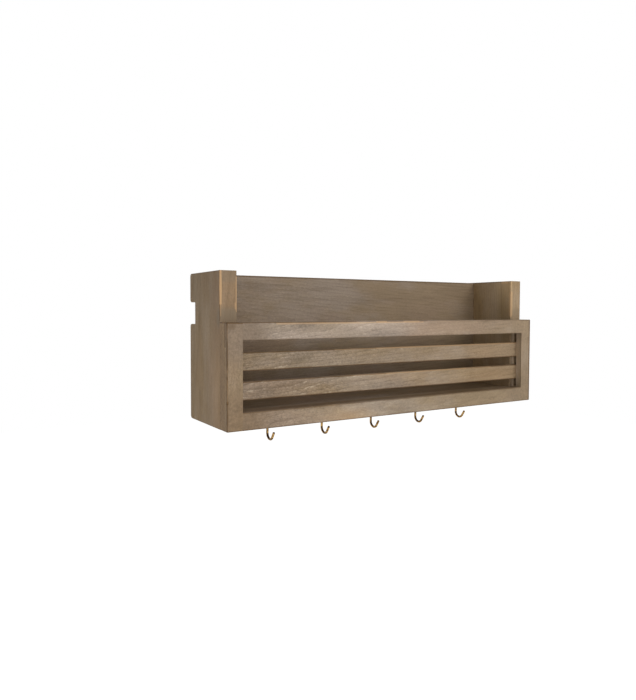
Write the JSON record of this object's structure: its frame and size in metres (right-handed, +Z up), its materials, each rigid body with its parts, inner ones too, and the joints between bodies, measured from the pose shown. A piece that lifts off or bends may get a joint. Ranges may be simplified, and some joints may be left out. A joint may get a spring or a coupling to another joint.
{
  "type": "wall organizer",
  "caption": "Open wooden wall box with a slatted front frame, a rear channel for a wall batten, and a row of brass cup hooks under it.",
  "frame": {"origin": "middle of the mouth of the rear channel that takes a wall batten, in the plane of the wall", "axes": "+X along the wall, to the right seen from the front; +Y into the wall; +Z up"},
  "size_m": [0.4, 0.09, 0.168],
  "materials": {
    "washed_wood": "grey-brown washed, satin",
    "dowel_wood": "bare",
    "hook_brass": "polished",
    "screw_steel": "zinc plated"
  },
  "bodies": {
    "root": {"left_side_board": "washed_wood", "right_side_board": "washed_wood", "back_board": "washed_wood", "bottom_board": "washed_wood", "left_stile": "washed_wood", "right_stile": "washed_wood", "top_rail": "washed_wood", "bottom_rail": "washed_wood", "lower_slat": "washed_wood", "upper_slat": "washed_wood", "frame_corner_dowels": "dowel_wood", "frame_side_dowels": "dowel_wood", "bottom_board_dowels": "dowel_wood", "back_board_dowels": "dowel_wood", "back_screws": "screw_steel", "cup_hook_1": "hook_brass", "cup_hook_2": "hook_brass", "cup_hook_3": "hook_brass", "cup_hook_4": "hook_brass", "cup_hook_5": "hook_brass"}
  },
  "joints": []
}
